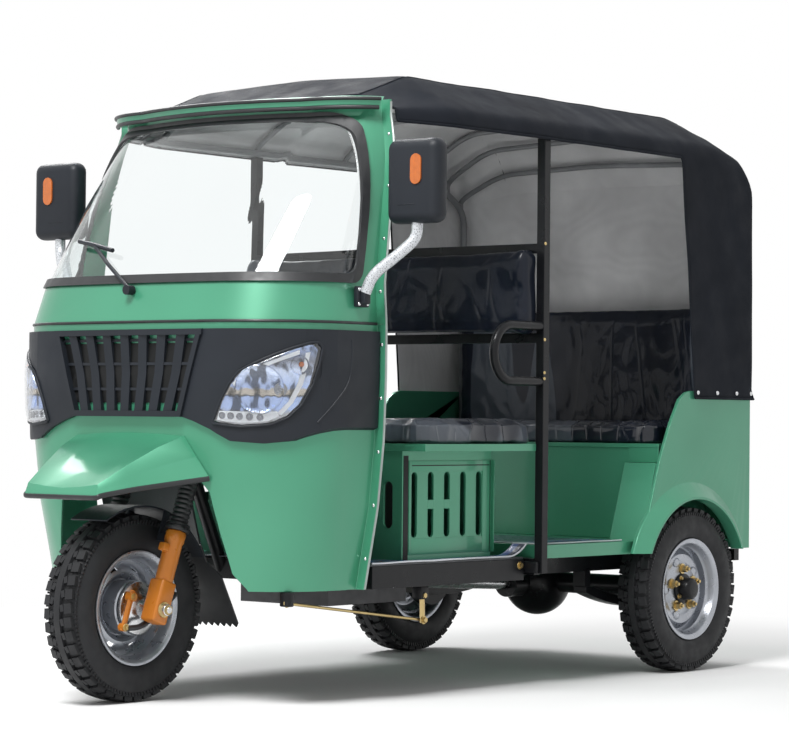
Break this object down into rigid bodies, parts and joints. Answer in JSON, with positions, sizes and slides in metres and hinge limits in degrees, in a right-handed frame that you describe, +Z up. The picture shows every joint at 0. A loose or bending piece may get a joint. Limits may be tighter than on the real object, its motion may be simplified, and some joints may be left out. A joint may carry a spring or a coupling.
{
  "type": "auto rickshaw",
  "caption": "Three-wheeled passenger auto rickshaw with a pressed green cab, black fascia, raked fork, open sides, canvas hood and rear bench",
  "frame": {"origin": "under the middle of the bounding box, on the ground", "axes": "+Z up, faces -Y, +X is the vehicle's left"},
  "size_m": [1.613, 2.7, 1.881],
  "materials": {
    "body_green": "metallic gloss",
    "black_plastic": "matte",
    "black_steel": "satin",
    "fork_orange": "gloss",
    "silver_paint": "satin",
    "bare_steel": "brushed",
    "tyre": "matte",
    "seal_rubber": "matte",
    "canvas": "coated canvas",
    "seat_vinyl": "grained",
    "glass": "clear",
    "lamp_lens": "clear lens",
    "lamp_red": "gloss",
    "floor_grey": "matte",
    "cast_grey": "cast",
    "exhaust_steel": "matte"
  },
  "bodies": {
    "body": {"chassis_frame": "black_steel", "nose_shell": "body_green", "cab_upper": "body_green", "windscreen_seal": "seal_rubber", "windscreen_glass": "glass", "grille": "black_plastic", "headlamp_fascias": "black_plastic", "headlamps": "lamp_lens", "nose_fender": "body_green", "mirrors": "black_plastic", "wiper": "black_plastic", "dashboard": "black_plastic", "cab_floor": "floor_grey", "side_sills": "black_steel", "seat_box": "body_green", "driver_cushion": "seat_vinyl", "driver_backrest": "seat_vinyl", "partition_frame": "black_steel", "grab_handles": "black_steel", "rear_floor": "floor_grey", "rear_side_left": "body_green", "rear_side_right": "body_green", "tail_panel": "body_green", "tail_lamps": "lamp_red", "rear_seat_base": "body_green", "rear_cushion": "seat_vinyl", "rear_backrest": "seat_vinyl", "canopy": "canvas", "canopy_frame": "black_steel", "rear_axle": "black_steel", "leaf_springs": "black_steel", "engine": "cast_grey", "exhaust": "exhaust_steel", "drive_shaft": "bare_steel", "rear_bumper": "black_steel"},
    "steering": {"fork_yoke": "black_steel", "fork_sliders": "fork_orange", "fork_gaiters": "seal_rubber", "front_axle": "bare_steel", "front_brake_plate": "cast_grey", "front_mudguard": "black_plastic", "mud_flap": "seal_rubber", "handlebar": "black_steel"},
    "front_wheel": {"front_rim": "silver_paint", "front_tyre": "tyre"},
    "rear_wheel_left": {"rear_left_rim": "silver_paint", "rear_left_tyre": "tyre"},
    "rear_wheel_right": {"rear_right_rim": "silver_paint", "rear_right_tyre": "tyre"}
  },
  "joints": [
    {"name": "steering_turn", "type": "hinge", "parent": "body", "child": "steering", "pos_m": [0, -0.84992, 0.77497], "axis": [0, 0.342, 0.9397], "range_deg": [-35, 35]},
    {"name": "front_wheel_spin", "type": "hinge", "parent": "steering", "child": "front_wheel", "pos_m": [0, -1.0775, 0.2725], "axis": [1, 0, 0], "continuous": true},
    {"name": "rear_left_spin", "type": "hinge", "parent": "body", "child": "rear_wheel_left", "pos_m": [0.577, 0.9435, 0.2725], "axis": [1, 0, 0], "continuous": true},
    {"name": "rear_right_spin", "type": "hinge", "parent": "body", "child": "rear_wheel_right", "pos_m": [-0.577, 0.9435, 0.2725], "axis": [1, 0, 0], "continuous": true}
  ]
}
